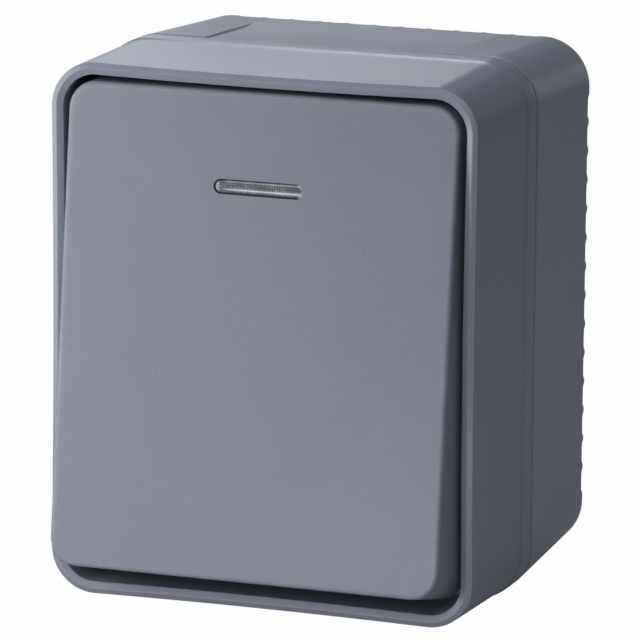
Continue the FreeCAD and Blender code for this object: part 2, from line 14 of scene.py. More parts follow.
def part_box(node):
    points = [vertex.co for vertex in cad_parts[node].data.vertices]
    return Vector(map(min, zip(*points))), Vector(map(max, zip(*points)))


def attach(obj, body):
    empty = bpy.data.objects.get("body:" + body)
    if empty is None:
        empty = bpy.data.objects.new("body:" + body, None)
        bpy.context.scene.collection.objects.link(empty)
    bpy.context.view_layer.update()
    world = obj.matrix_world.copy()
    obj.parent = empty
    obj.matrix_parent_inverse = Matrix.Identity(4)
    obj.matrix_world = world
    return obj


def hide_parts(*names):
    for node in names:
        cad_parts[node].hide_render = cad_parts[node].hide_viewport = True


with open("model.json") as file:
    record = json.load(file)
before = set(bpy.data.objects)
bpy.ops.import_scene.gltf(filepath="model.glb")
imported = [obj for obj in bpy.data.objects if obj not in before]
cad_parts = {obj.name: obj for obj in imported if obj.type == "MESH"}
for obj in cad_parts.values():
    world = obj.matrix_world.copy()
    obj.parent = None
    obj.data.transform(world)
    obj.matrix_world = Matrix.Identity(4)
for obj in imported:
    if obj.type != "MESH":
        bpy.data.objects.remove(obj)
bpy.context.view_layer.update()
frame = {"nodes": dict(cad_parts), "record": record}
MM = 0.001


def node_box(node):
    """Lowest and highest corner of a CAD node, in millimetres."""
    low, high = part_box(node)
    return [value / MM for value in low], [value / MM for value in high]


# Sizes read from the frame
box_low, box_high = node_box("back_box")
cover_low, _ = node_box("front_cover")
seal_low, seal_high = node_box("box_seal")
case_width = box_high[0] - box_low[0]
case_height = box_high[2] - box_low[2]
box_depth = -box_low[1]
cover_rear = -seal_low[1]
rim_depth = -cover_low[1]
seal_inset = case_width / 2 - seal_high[0]
seal_rear = -seal_high[1]

# Fineness of the meshes
corner_steps = 14
ease_steps = 5
small_steps = 2
small_round = 0.25
ease_reach = 0.45
hold_length = 0.18
upright_steps = 20
level_steps = 16
turned_steps = 64
rod_steps = 48
end_steps = 24
sharp_angle = math.radians(32)

# Gaps closed by welding points, in metres
double_gap = 1e-8
rim_gap = 1e-7
weld_gap = 1e-6

# Length of a tool past the face that it cuts or joins
overlap = 1.0

# Case
case_corner = 7.2
box_draft = 1.2
box_wall = 2.8
back_face = 3.2
back_recess = 1.2
land_width = 3.0
floor_margin = 2.0
scallop_pitch = 4.4
scallop_depth = 0.85
scallop_bite = 0.7
scallop_station = 0.3
scallop_rows = (0.35, 0.7, 1.0)
lower_side = 3
pad_half_width = 19.0
pad_edge = 0.12
pad_level = 39.0
scoop_half_width = 18.8
scoop_sink = 0.28
scoop_rear = 2.8
scoop_corner = 5.5
scoop_ramp = 4.5
scoop_wall = 0.35

# Roundings of the box
land_round = 0.3
rear_round = 0.12
scallop_round = 0.05
box_edge_round = 0.35
mouth_round = 0.12
seat_round = 0.1
lip_round = 0.15
inner_round = 0.8

# Wall fixings, bosses and cable entry of the box
fixing_x = 20.0
fixing_z = 27.0
fixing_radius = 2.2
fixing_pad_radius = 5.0
fixing_pad_sink = 0.4
boss_x = 25.65
boss_z = 32.4
boss_radius = 3.0
post_radius = 3.6
boss_depth = 26.9
pilot_radius = 1.55
pilot_near = 13.9
support_x = 15.2
support_z = 17.2
support_half = 3.4
support_depth = 12.0
support_pilot_near = 5.0
entry_depth = 14.5
entry_radius = 8.0
entry_seat_radius = 10.25
entry_seat_height = 3.2
entry_seat_low = -pad_level
entry_seat_high = entry_seat_low + entry_seat_height
knockout_skin = 1.4

# Cover
cover_wall = 3.0
band_chamfer = 0.7
band_drop = 0.08
band_flat = 3.0
shoulder_length = 0.9
shoulder_drop = 0.22
rim_inset = 0.5
rim_facet_width = 0.8
rim_facet_drop = 0.3
rim_bevel_width = 0.98
rim_bevel_drop = 0.4
side_bow = 0.24
floor_front = 39.54
floor_thick = 2.0
opening_width = 37.0
opening_height = 47.0
opening_corner = 3.0
opening_chamfer = 0.25
post_hole_radius = 1.7
head_recess_radius = 3.0
head_recess = 1.8
crest_inset = rim_inset + rim_facet_width
window_inset = crest_inset + rim_bevel_width

# Roundings of the cover
foot_round = 0.22
band_round = 0.2
shoulder_round = 0.12
taper_round = 0.15
rim_round = 0.1
crest_round = 0.08
well_round = 0.5

# Rocker, level before it is tilted about its pivot
pivot_depth = 41.8
rocker_tilt = math.radians(6.32)
face_depth = 56.5
skirt_depth = 44.5
face_width = 59.84
face_height = 70.79
face_margin = 0.6
base_width = 60.64
base_height = 73.45
rocker_corner = 4.1
rocker_wall = 1.8
rocker_under = 54.5
under_margin = 1.0
under_round = 0.5
skirt_inner_round = 0.2
skirt_round = 0.3
rocker_edge_round = 0.5
hub_width = 24.0
hub_height = 24.4
hub_wall = 1.6
hub_rear = 48.8
rib_x = 20.0
rib_thick = 1.2
rib_height = 5.0
rib_reach = 28.5
rib_sink = 0.5

# Indicator window
lens_z = 21.6
lens_length = 13.7
lens_width = 2.1
lens_front = 56.35
lens_edge = (0.7, 1.0)
lens_edge_drop = 0.15
lens_dot_pitch = 0.38
lens_dot_height = 0.012
lens_dot_points = 8
lens_dot_end = (0.6, 0.8)
lens_flange = 1.2
lens_flange_rear = 53.7
slot_fit = 0.05

# Painted highlights in the window, in shares of its half length and half width
row_bell = (-0.36, 0.15)
row_start = (-0.95, -0.5)
upper_light = 0.65
upper_bell = (0.74, 0.1)
upper_start = (-0.8, -0.65)
right_light = 1.2
right_bell = (0.86, 0.12)
right_start = (0.84, 0.9)
left_light = 0.6
left_bell = (0.55, 0.16)
left_end = (-0.92, -0.86)

# Shade in the window, in the same shares
low_shade = (-0.88, -0.64)
high_shade = (0.86, 0.95)
high_shade_share = 0.55
straight_shade_end = (0.86, 0.95)
round_shade = (0.72, 0.9)
round_shade_end = (-0.82, -0.7)


def lerp(a, b, share):
    """Value a given share of the way from a to b."""
    return a + (b - a) * share


def bell(middle, width, value):
    """Soft bump of height 1 around a middle."""
    return math.exp(-((value - middle) / width) ** 2)


def smooth(low, high, value):
    """Soft step from 0 at low to 1 at high."""
    share = min(max((value - low) / (high - low), 0.0), 1.0)
    return share * share * (3 - 2 * share)


# Profiles and rings
def rounding(start, corner, end, pull, steps):
    """Points of a curve from start to end, drawn towards the corner between them."""
    points = []
    for step in range(steps + 1):
        share = step / steps
        rest = 1 - share
        weights = (rest * rest, 2 * pull * share * rest, share * share)
        points.append((start * weights[0] + corner * weights[1] + end * weights[2]) / sum(weights))
    return points


def eased(corners):
    """Rows along a profile of (depth, inset, bow, radius) corners, each rounded by its radius.

    A row is (depth, inset, bow, edge), where edge is 1 on a rounding and 0 on a flat stretch.
    """
    rows = []
    for index, (depth, inset, bow, radius) in enumerate(corners):
        if index in (0, len(corners) - 1):
            rows.append((depth, inset, bow, 0.0))
            continue
        here = Vector((depth, inset, bow))
        back = Vector(corners[index - 1][:3]) - here
        ahead = Vector(corners[index + 1][:3]) - here
        start = here + back.normalized() * min(radius, ease_reach * back.length)
        end = here + ahead.normalized() * min(radius, ease_reach * ahead.length)
        long_stretch = 2 * (radius + hold_length)
        if back.length > long_stretch:
            rows.append((*(start + back.normalized() * hold_length), 0.0))
        steps = small_steps if radius < small_round else ease_steps
        pull = math.sqrt((1 - back.normalized().dot(ahead.normalized())) / 2)
        rows += [(*point, 1.0) for point in rounding(start, here, end, pull, steps)]
        if ahead.length > long_stretch:
            rows.append((*(end + ahead.normalized() * hold_length), 0.0))
    return rows


def placed(out, along, turn):
    """X and Z of a point on one of four sides, from its reach and its place along the side."""
    angle = turn * math.pi / 2
    x = out * math.cos(angle) - along * math.sin(angle)
    z = out * math.sin(angle) + along * math.cos(angle)
    return x, z


def ring(width, height, corner, depth, stations, bow=0.0, shape=None):
    """Points of a rounded rectangle at a depth.

    stations gives, for the upright and the level sides, the places along a side as shares of its
    straight half. shape, if given, changes the reach of a point from its side and place.
    """
    points = []
    for turn in range(4):
        reach, span = (width / 2, height / 2) if turn % 2 == 0 else (height / 2, width / 2)
        run = span - corner
        for share in stations[turn % 2]:
            along = share * run
            out = reach - bow * (1 - share * share)
            if shape:
                out = shape(turn, out, along)
            points.append(placed(out, along, turn))
        for step in range(1, corner_steps):
            angle = step / corner_steps * math.pi / 2
            across = reach - corner + corner * math.cos(angle)
            points.append(placed(across, run + corner * math.sin(angle), turn))
    return [Vector((x, -depth, z)) * MM for x, z in points]


def even_stations(steps):
    """Evenly spaced places along a side, both ends included."""
    return [2 * step / steps - 1 for step in range(steps + 1)]


plain_stations = (even_stations(upright_steps), even_stations(level_steps))


def case_ring(depth, inset, bow=0.0):
    """Ring of the case's outline drawn in by an inset."""
    return ring(case_width - 2 * inset, case_height - 2 * inset, case_corner - inset, depth,
                plain_stations, bow)


# Meshes
def linked(name, data):
    """New object in the scene."""
    item = bpy.data.objects.new(name, data)
    bpy.context.scene.collection.objects.link(item)
    return item


def shade(mesh):
    """Smooth shading with sharp edges kept."""
    mesh.polygons.foreach_set("use_smooth", [True] * len(mesh.polygons))
    mesh.set_sharp_from_angle(angle=sharp_angle)


def mesh_object(name, bm):
    """Object from a bmesh, cleaned, with outward faces, smooth but for its sharp edges."""
    bmesh.ops.remove_doubles(bm, verts=bm.verts, dist=double_gap)
    bmesh.ops.recalc_face_normals(bm, faces=bm.faces)
    mesh = bpy.data.meshes.new(name)
    bm.to_mesh(mesh)
    bm.free()
    shade(mesh)
    return linked(name, mesh)


def cap(bm, rows):
    """Faces over the first and the last of a row of rings."""
    bm.faces.new(rows[0])
    bm.faces.new(list(reversed(rows[-1])))


def bridge(bm, near, far):
    """Faces between two rings, all the way round."""
    for index in range(len(near)):
        after = (index + 1) % len(near)
        bm.faces.new((near[index], near[after], far[after], far[index]))


def skin(name, rings, edges, closed=False):
    """Mesh through a row of rings: a closed band, or one capped at both ends.

    edges gives each ring's share of rounding for a painted highlight, kept on the points as the
    attribute edge.
    """
    bm = bmesh.new()
    # Share of rounding on each point, which the plastics lighten as a painted highlight
    rounding_layer = bm.verts.layers.float.new("edge")
    rows = []
    for points, edge in zip(rings, edges):
        row = [bm.verts.new(point) for point in points]
        for vert in row:
            vert[rounding_layer] = edge
        rows.append(row)
    pairs = list(zip(rows, rows[1:]))
    if closed:
        pairs.append((rows[-1], rows[0]))
    else:
        cap(bm, rows)
    for near, far in pairs:
        bridge(bm, near, far)
    return mesh_object(name, bm)


def lathe(profile, centre, axis, steps=turned_steps):
    """Closed tool turned round an axis through a centre, from (radius, along) points in mm."""
    bm = bmesh.new()
    turn = Vector((0, 0, 1)).rotation_difference(Vector(axis)).to_matrix()
    rows = []
    for radius, along in profile:
        row = []
        for step in range(steps):
            angle = 2 * math.pi * step / steps
            point = turn @ Vector((radius * math.cos(angle), radius * math.sin(angle), along))
            row.append(bm.verts.new((Vector(centre) + point) * MM))
        rows.append(row)
    cap(bm, rows)
    for near, far in zip(rows, rows[1:]):
        bridge(bm, near, far)
    return mesh_object("tool", bm)


def rod(radius, near, far, x, z):
    """Cylinder along Y between two depths."""
    return lathe([(radius, near), (radius, far)], (x, 0, z), (0, -1, 0), rod_steps)


def entry_rod(radius, low, high):
    """Upright cylinder in line with the cable entry, between two heights."""
    return lathe([(radius, low), (radius, high)], (0, -entry_depth, 0), (0, 0, 1))


def block(x0, x1, near, far, z0, z1):
    """Box between two depths."""
    bm = bmesh.new()
    bmesh.ops.create_cube(bm, size=1.0)
    size = Matrix.Diagonal((x1 - x0, far - near, z1 - z0, 1)) * MM
    size[3][3] = 1
    middle = Vector(((x0 + x1) / 2, -(near + far) / 2, (z0 + z1) / 2)) * MM
    bmesh.ops.transform(bm, matrix=Matrix.Translation(middle) @ size, verts=bm.verts)
    return mesh_object("tool", bm)


def stadium(length, width, near, far, z):
    """Bar with round ends along X, between two depths."""
    radius = width / 2
    half = (length - width) / 2
    points = []
    for side in (1, -1):
        for step in range(end_steps + 1):
            angle = math.pi * (step / end_steps - 0.5)
            x = side * (half + radius * math.cos(angle))
            points.append((x, side * radius * math.sin(angle)))
    rings = [[Vector((x, -depth, z + up)) * MM for x, up in points] for depth in (near, far)]
    return skin("tool", rings, [0.0] * len(rings))


def joined(tools):
    """One object with the meshes of several, which are used up."""
    bm = bmesh.new()
    for tool in tools:
        bm.from_mesh(tool.data)
        bpy.data.meshes.remove(tool.data)
    mesh = bpy.data.meshes.new("tool")
    bm.to_mesh(mesh)
    bm.free()
    return linked("tool", mesh)


def carve(piece, tools, operation):
    """Join tools to a piece, or cut them out of it, and use them up."""
    tool = joined(tools)
    modifier = piece.modifiers.new("carve", "BOOLEAN")
    modifier.operation = operation
    modifier.solver = "EXACT"
    modifier.object = tool
    graph = bpy.context.evaluated_depsgraph_get()
    mesh = bpy.data.meshes.new_from_object(piece.evaluated_get(graph))
    piece.modifiers.clear()
    old = piece.data
    piece.data = mesh
    bpy.data.meshes.remove(old)
    bpy.data.meshes.remove(tool.data)
    mesh.name = piece.name
    bm = bmesh.new()
    bm.from_mesh(mesh)
    bmesh.ops.remove_doubles(bm, verts=bm.verts, dist=weld_gap)
    bmesh.ops.dissolve_degenerate(bm, edges=bm.edges, dist=weld_gap)
    bm.to_mesh(mesh)
    bm.free()
    shade(mesh)


def paint(piece, name, value):
    """Keep a value worked out from each point, in millimetres, under a name on the mesh."""
    layer = piece.data.attributes.new(name, "FLOAT", "POINT")
    for vert, item in zip(piece.data.vertices, layer.data):
        item.value = value(*(vert.co / MM))


def tilt(piece):
    """Turn a piece of the rocker from level to its resting place, upper end pressed in."""
    pivot = Vector((0, -pivot_depth, 0)) * MM
    turn = Matrix.Rotation(-rocker_tilt, 4, "X")
    piece.data.transform(Matrix.Translation(pivot) @ turn @ Matrix.Translation(-pivot))


def both_sides(make, *args):
    """Two tools at opposite corners: x and z are the last two values given."""
    x, z = args[-2:]
    return [make(*args[:-2], x, z), make(*args[:-2], -x, -z)]


def four_corners(x, z):
    """The four places at a distance from the middle."""
    return [(across, up) for across in (-x, x) for up in (-z, z)]


# Box
def box_places(run, level):
    """Places along a side of the box, fine enough for its scallops, with the pad's edges."""
    shares = even_stations(int(2 * run / scallop_station))
    if level:
        for edge in (pad_half_width - pad_edge, pad_half_width):
            shares += [edge / run, -edge / run]
    return sorted(shares)


upright_run = case_height / 2 - box_draft - case_corner
level_run = case_width / 2 - box_draft - case_corner
box_stations = (box_places(upright_run, False), box_places(level_run, True))


def scallop(along, run):
    """Share of the full bite at a place along a side, 0 on a tooth and 1 in a hollow."""
    count = int(2 * run / scallop_pitch)
    spot = along / scallop_pitch + (count - 1) / 2
    nearest = min(max(round(spot), 0), count - 1)
    return (1 + math.cos(2 * math.pi * min(abs(spot - nearest), 0.5))) / 2


def box_profile():
    """Corners of the box's section, from its rear face round its mouth to its floor."""
    return [
        (back_recess, land_width, 0, 0.0),
        (0, land_width, 0, land_round),
        (0, 0, 0, rear_round),
        *[(scallop_depth * share, 0, 0, scallop_round) for share in scallop_rows],
        (box_depth, 0, 0, box_edge_round),
        (box_depth, seal_inset, 0, mouth_round),
        (seal_rear, seal_inset, 0, seat_round),
        (seal_rear, box_wall, 0, lip_round),
        (back_face, box_wall, 0, inner_round),
        (back_face, box_wall + floor_margin, 0, 0.0),
    ]


def box_ring(depth, inset):
    """Ring of the drafted box at a depth, with its wavy rear edge and the pad below."""
    drawn = inset + box_draft * (1 - depth / box_depth)
    outside = inset < land_width / 2
    fade = 1 - smooth(0.0, scallop_depth, depth) if outside else 0.0

    def shape(turn, out, along):
        """Reach of a point on a side, bitten at the rear edge and flat on the pad."""
        run = level_run if turn % 2 else upright_run
        out -= scallop_bite * fade * scallop(along, run)
        if turn == lower_side and abs(along) < pad_half_width - pad_edge / 2:
            out = min(out, pad_level)
        return out

    return ring(case_width - 2 * drawn, case_height - 2 * drawn, case_corner - inset, depth,
                box_stations, shape=shape)


def box_top(depth):
    """Height of the drafted top of the box at a depth."""
    return case_height / 2 - box_draft * (1 - depth / box_depth)


def scoop():
    """Tool for the shallow sunk field on top of the box, with round rear corners and a ramp."""
    levels = ((scoop_sink, -scoop_wall, -scoop_ramp), (-scoop_sink, scoop_wall, scoop_ramp))
    rings = []
    for rise, drawn, ramp in levels:
        half = scoop_half_width - drawn
        rear = scoop_rear + ramp
        points = [(-half, box_depth + overlap), (half, box_depth + overlap)]
        for side in (1, -1):
            for step in range(corner_steps + 1):
                angle = step / corner_steps * math.pi / 2
                if side < 0:
                    angle = math.pi / 2 - angle
                x = half - scoop_corner + scoop_corner * math.cos(angle)
                points.append((side * x, rear + scoop_corner - scoop_corner * math.sin(angle)))
        rings.append([Vector((x, -depth, box_top(depth) + rise)) * MM for x, depth in points])
    return skin("tool", rings, [0.0] * len(rings))


def box_bosses():
    """Pads of the wall fixings, screw bosses, mechanism supports and the cable entry's seat."""
    tools = []
    for x, z in four_corners(fixing_x, fixing_z):
        tools.append(rod(fixing_pad_radius, 0, back_face - fixing_pad_sink, x, z))
    tools += both_sides(rod, boss_radius, back_face - overlap, boss_depth, -boss_x, boss_z)
    for x, z in four_corners(support_x, support_z):
        tools.append(block(x - support_half, x + support_half, back_face - overlap, support_depth,
                           z - support_half, z + support_half))
    tools.append(entry_rod(entry_seat_radius, entry_seat_low + overlap, entry_seat_high))
    return tools


def box_holes():
    """Fixing and pilot holes, the cable entry below and the thin knock-out above it."""
    tools = []
    for x, z in four_corners(fixing_x, fixing_z):
        tools.append(rod(fixing_radius, -overlap, back_face + overlap, x, z))
    tools += both_sides(rod, pilot_radius, pilot_near, boss_depth + overlap, -boss_x, boss_z)
    support_end = support_depth + overlap
    tools += both_sides(rod, pilot_radius, support_pilot_near, support_end, support_x, support_z)
    tools.append(entry_rod(entry_radius, entry_seat_low - overlap, entry_seat_high + overlap))
    skin_level = pad_level - knockout_skin
    tools.append(entry_rod(entry_radius, skin_level - box_wall, skin_level))
    return tools


def box_shell():
    """Drafted box with a wavy rear edge, a sunk field above, a pad below and the seal's seat."""
    rows = eased(box_profile())
    rings = [box_ring(depth, inset) for depth, inset, _, _ in rows]
    piece = skin("box_shell", rings, [row[3] for row in rows])
    carve(piece, [scoop()], "DIFFERENCE")
    carve(piece, box_bosses(), "UNION")
    carve(piece, box_holes(), "DIFFERENCE")
    return piece


# Cover
def cover_profile():
    """Corners of the cover's section, from its foot over the rim to the floor of the well."""
    flat = cover_rear + band_chamfer
    shoulder = flat + band_flat
    taper = shoulder + shoulder_length
    return [
        (cover_rear, cover_wall, 0, 0.0),
        (cover_rear, band_drop, 0, foot_round),
        (flat, 0, 0, band_round),
        (shoulder, 0, 0, shoulder_round),
        (taper, shoulder_drop, 0, taper_round),
        (rim_depth - rim_facet_drop, rim_inset, side_bow, rim_round),
        (rim_depth, crest_inset, side_bow, crest_round),
        (rim_depth - rim_bevel_drop, window_inset, side_bow, rim_round),
        (floor_front, window_inset, side_bow, well_round),
        (floor_front, window_inset + floor_margin, side_bow, 0.0),
    ]


def opening_ring(depth, grown):
    """Ring of the opening in the cover's floor, grown by a margin."""
    return ring(opening_width + 2 * grown, opening_height + 2 * grown, opening_corner + grown,
                depth, plain_stations)


def screw_hole(x, z):
    """Tool for a cover screw's hole, with a recess for its head."""
    seat = floor_front - head_recess
    profile = [
        (post_hole_radius, boss_depth - overlap),
        (post_hole_radius, seat),
        (head_recess_radius, seat),
        (head_recess_radius, floor_front + overlap),
    ]
    return lathe(profile, (x, 0, z), (0, -1, 0))


def cover_shell():
    """Tapered cover with a banded foot, a rim of two facets and a well for the rocker."""
    rows = eased(cover_profile())
    floor_rear = floor_front - floor_thick
    rings = [case_ring(depth, inset, bow) for depth, inset, bow, _ in rows]
    rings.append(opening_ring(floor_front, opening_chamfer))
    rings.append(opening_ring(floor_front - opening_chamfer, 0))
    rings.append(opening_ring(floor_rear, 0))
    rings.append(case_ring(floor_rear, cover_wall))
    edges = [row[3] for row in rows]
    edges += [0.0] * (len(rings) - len(rows))
    piece = skin("cover_shell", rings, edges, closed=True)
    posts = both_sides(rod, post_radius, boss_depth, floor_front - overlap, -boss_x, boss_z)
    carve(piece, posts, "UNION")
    carve(piece, both_sides(screw_hole, -boss_x, boss_z), "DIFFERENCE")
    return piece


# Rocker
def rocker_ring(depth, inset):
    """Ring of the tapered rocker at a depth, drawn in by an inset."""
    share = (face_depth - depth) / (face_depth - skirt_depth)
    width = lerp(face_width, base_width, share)
    height = lerp(face_height, base_height, share)
    return ring(width - 2 * inset, height - 2 * inset, rocker_corner - inset, depth, plain_stations)


def rocker_profile():
    """Corners of the rocker's section, from under its face round the skirt to its front."""
    return [
        (rocker_under, rocker_wall + under_margin, 0, 0.0),
        (rocker_under, rocker_wall, 0, under_round),
        (skirt_depth, rocker_wall, 0, skirt_inner_round),
        (skirt_depth, 0, 0, skirt_round),
        (face_depth, 0, 0, rocker_edge_round),
        (face_depth, rocker_edge_round + face_margin, 0, 0.0),
    ]


def rocker_hub():
    """Hollow hub behind the rocker's face."""
    depths = (hub_rear, rocker_under + rib_sink)
    rings = [ring(hub_width, hub_height, hub_wall, depth, plain_stations) for depth in depths]
    hub = skin("tool", rings, [0.0] * len(rings))
    core_x = hub_width / 2 - hub_wall
    core_z = hub_height / 2 - hub_wall
    core = block(-core_x, core_x, hub_rear - overlap, rocker_under, -core_z, core_z)
    carve(hub, [core], "DIFFERENCE")
    return hub


def rocker_ribs():
    """Two upright ribs behind the rocker's face."""
    ribs = []
    for left in (rib_x, -rib_x - rib_thick):
        ribs.append(block(left, left + rib_thick, rocker_under - rib_height, rocker_under + rib_sink,
                          -rib_reach, rib_reach))
    return ribs


def rocker_plate():
    """Hollow rocker with rounded edges, a hub, ribs and a slot for the window."""
    rows = eased(rocker_profile())
    rings = [rocker_ring(depth, inset) for depth, inset, _, _ in rows]
    piece = skin("rocker_plate", rings, [row[3] for row in rows])
    carve(piece, [rocker_hub()] + rocker_ribs(), "UNION")
    slot = stadium(lens_length + 2 * slot_fit, lens_width + 2 * slot_fit, rocker_under - overlap,
                   face_depth + overlap, lens_z)
    carve(piece, [slot], "DIFFERENCE")
    tilt(piece)
    return piece


# Window
def lens_share(x, up):
    """Distance from the window's middle line as a share of its half width."""
    past = max(abs(x) - (lens_length - lens_width) / 2, 0)
    return min(2 * math.hypot(past, up) / lens_width, 1.0)


def lens_dot(x, _, z):
    """Height of the dot pattern, from 0 between the dots to 1 on them."""
    turn = 2 * math.pi / lens_dot_pitch
    return (math.cos(turn * x) + math.cos(turn * (z - lens_z)) + 2) / 4


def lens_painted_light(x, _, z):
    """Share of painted highlight along the lower prism row, the upper edge and the two ends."""
    up = z - lens_z
    level = 2 * up / lens_width
    along = 2 * x / lens_length
    share = lens_share(x, up)
    row = bell(*row_bell, level) * smooth(*row_start, along)
    upper = upper_light * bell(*upper_bell, level) * smooth(*upper_start, along)
    right = right_light * bell(*right_bell, share) * smooth(*right_start, along)
    left = left_light * bell(*left_bell, share) * (1 - smooth(*left_end, along))
    return min(row + upper + right + left, 1.0)


def lens_dark(x, _, z):
    """Share of shade along the lower and upper edge and round the left end."""
    up = z - lens_z
    level = 2 * up / lens_width
    along = 2 * x / lens_length
    low = 1 - smooth(*low_shade, level)
    high = high_shade_share * smooth(*high_shade, level)
    left = smooth(*round_shade, lens_share(x, up)) * (1 - smooth(*round_shade_end, along))
    return max(max(low, high) * (1 - smooth(*straight_shade_end, along)), left)


def lens_depth(x, up):
    """Depth of the window's front, dotted inside and eased towards its edge."""
    share = lens_share(x, up)
    dots = lens_dot(x, 0, lens_z + up) - 1
    relief = lens_dot_height * dots * (1 - smooth(*lens_dot_end, share))
    return lens_front - lens_edge_drop * smooth(*lens_edge, share) + relief


def lens_face(bm):
    """Front of the window, a fine grid drawn in at its round ends."""
    columns = int(lens_length / lens_dot_pitch) * lens_dot_points
    lanes = int(lens_width / lens_dot_pitch) * lens_dot_points
    half_w = lens_width / 2
    half_l = lens_length / 2
    rows = []
    for column in range(columns + 1):
        x = lerp(-half_l, half_l, column / columns)
        past = max(abs(x) - (half_l - half_w), 0)
        side = math.sqrt(max(half_w * half_w - past * past, 0.0))
        row = []
        for lane in range(lanes + 1):
            up = lerp(-side, side, lane / lanes)
            row.append(bm.verts.new(Vector((x, -lens_depth(x, up), lens_z + up)) * MM))
        rows.append(row)
    for near, far in zip(rows, rows[1:]):
        for lane in range(lanes):
            bm.faces.new((near[lane], far[lane], far[lane + 1], near[lane + 1]))


def open_edges(bm):
    """Edges with a face on one side only."""
    return [edge for edge in bm.edges if len(edge.link_faces) == 1]


def lens_window():
    """Clear bar with eased edges, a field of fine dots and a flange behind the rocker's face."""
    bm = bmesh.new()
    lens_face(bm)
    walls = bmesh.ops.extrude_edge_only(bm, edges=open_edges(bm))["geom"]
    for vert in [item for item in walls if isinstance(item, bmesh.types.BMVert)]:
        vert.co.y = -rocker_under * MM
    bmesh.ops.remove_doubles(bm, verts=bm.verts, dist=rim_gap)
    bmesh.ops.holes_fill(bm, edges=open_edges(bm))
    piece = mesh_object("lens_window", bm)
    grown = 2 * lens_flange
    flange = stadium(lens_length + grown, lens_width + grown, lens_flange_rear, rocker_under, lens_z)
    carve(piece, [flange], "UNION")
    paint(piece, "dot", lens_dot)
    # Painted highlights and painted shade, kept on the points for the window's colour
    paint(piece, "light", lens_painted_light)
    paint(piece, "dark", lens_dark)
    tilt(piece)
    return piece


# Materials
class Shader:
    """Shorthand for the nodes of one material."""

    def __init__(self, name):
        self.material = bpy.data.materials.new(name)
        self.material.use_nodes = True
        self.tree = self.material.node_tree
        self.bsdf = self.tree.nodes["Principled BSDF"]
        self.place = self.add("TexCoord").outputs["Object"]

    def add(self, kind, **values):
        """New node with its properties set."""
        node = self.tree.nodes.new("ShaderNode" + kind)
        for key, value in values.items():
            setattr(node, key, value)
        return node

    def link(self, source, target):
        """Line from an output to an input."""
        self.tree.links.new(source, target)

    def noise(self, size, detail=3.0, stretch=None):
        """Noise with features of a size in millimetres, stretched along an axis if given."""
        node = self.add("TexNoise")
        node.inputs["Scale"].default_value = 1 / (size * MM)
        node.inputs["Detail"].default_value = detail
        place = self.place
        if stretch:
            mapping = self.add("Mapping")
            mapping.inputs["Scale"].default_value = stretch
            self.link(place, mapping.inputs["Vector"])
            place = mapping.outputs["Vector"]
        self.link(place, node.inputs["Vector"])
        return node.outputs["Fac"]

    def spread(self, source, low=0.0, high=1.0, from_low=0.3, from_high=0.7):
        """Value of a texture brought into a range."""
        node = self.add("MapRange")
        node.inputs["From Min"].default_value = from_low
        node.inputs["From Max"].default_value = from_high
        node.inputs["To Min"].default_value = low
        node.inputs["To Max"].default_value = high
        self.link(source, node.inputs["Value"])
        return node.outputs["Result"]

    def product(self, a, b):
        """One value times another."""
        node = self.add("Math", operation="MULTIPLY")
        self.link(a, node.inputs[0])
        self.link(b, node.inputs[1])
        return node.outputs["Value"]

    def blend(self, share, first, second):
        """Mix of two colours by a texture's value."""
        node = self.add("Mix", data_type="RGBA")
        self.link(share, node.inputs["Factor"])
        for socket, colour in ((node.inputs["A"], first), (node.inputs["B"], second)):
            if isinstance(colour, tuple):
                socket.default_value = (*colour, 1.0)
            else:
                self.link(colour, socket)
        return node.outputs["Result"]

    def colour(self, source):
        """Use a value as the surface's colour."""
        self.link(source, self.bsdf.inputs["Base Color"])

    def roughness(self, source):
        """Use a value as the surface's roughness."""
        self.link(source, self.bsdf.inputs["Roughness"])

    def bump(self, layers):
        """Bump from (height, strength, depth in millimetres) layers, one on the other."""
        normal = None
        for height, strength, depth in layers:
            node = self.add("Bump")
            node.inputs["Strength"].default_value = strength
            node.inputs["Distance"].default_value = depth * MM
            self.link(height, node.inputs["Height"])
            if normal:
                self.link(normal, node.inputs["Normal"])
            normal = node.outputs["Normal"]
        self.link(normal, self.bsdf.inputs["Normal"])

    def fixed(self, name, value):
        """Set a value that is the same all over the surface."""
        self.bsdf.inputs[name].default_value = value

    def kept(self, name):
        """Value kept on the mesh under a name."""
        return self.add("Attribute", attribute_name=name).outputs["Fac"]

    def edge(self):
        """Painted highlight on the roundings, kept on the mesh and broken up by noise."""
        return self.product(self.kept("edge"), self.spread(self.noise(highlight_size), *highlight_cover))


def scaled(colour, factor):
    """A colour made lighter or darker."""
    return tuple(value * factor for value in colour)


# Look of the plastics, with sizes in millimetres
soft_detail = 2.0
grain_size = 0.22
grain_strength = 0.35
coarse_size = 0.66
coarse_strength = 0.2
cloud_size = 14.0
cloud_tones = (0.97, 1.03)
cloud_cover = (0.7, 1.0)
# Painted highlight on the roundings
highlight_size = 1.6
highlight_cover = (0.15, 1.0)
highlight_grain = (0.2, 0.5)
highlight_tone = 1.35
plastic_ior = 1.46


def moulded(name, colour, roughness, relief=0.012, speckle=0.1):
    """Fine-textured matte plastic with a faint cloud, a speckle and painted highlights on its roundings.
    """
    shader = Shader(name)
    fine = shader.noise(grain_size, soft_detail)
    cloud = shader.noise(cloud_size, soft_detail)
    dull, bright = [scaled(colour, tone) for tone in cloud_tones]
    clouded = shader.blend(shader.spread(cloud), dull, bright)
    specks = shader.product(shader.spread(fine), shader.spread(cloud, *cloud_cover))
    speckled = shader.blend(specks, clouded, scaled(colour, 1 + speckle))
    # Painted highlight: the roundings made lighter, broken up by the grain
    painted_highlight = shader.product(shader.edge(), shader.spread(fine, *highlight_grain))
    shader.colour(shader.blend(painted_highlight, speckled, scaled(colour, highlight_tone)))
    shader.roughness(shader.spread(fine, roughness - speckle / 2, roughness + speckle / 2))
    coarse = shader.noise(coarse_size)
    shader.bump([(fine, grain_strength, relief), (coarse, coarse_strength, relief)])
    shader.fixed("IOR", plastic_ior)
    return shader.material


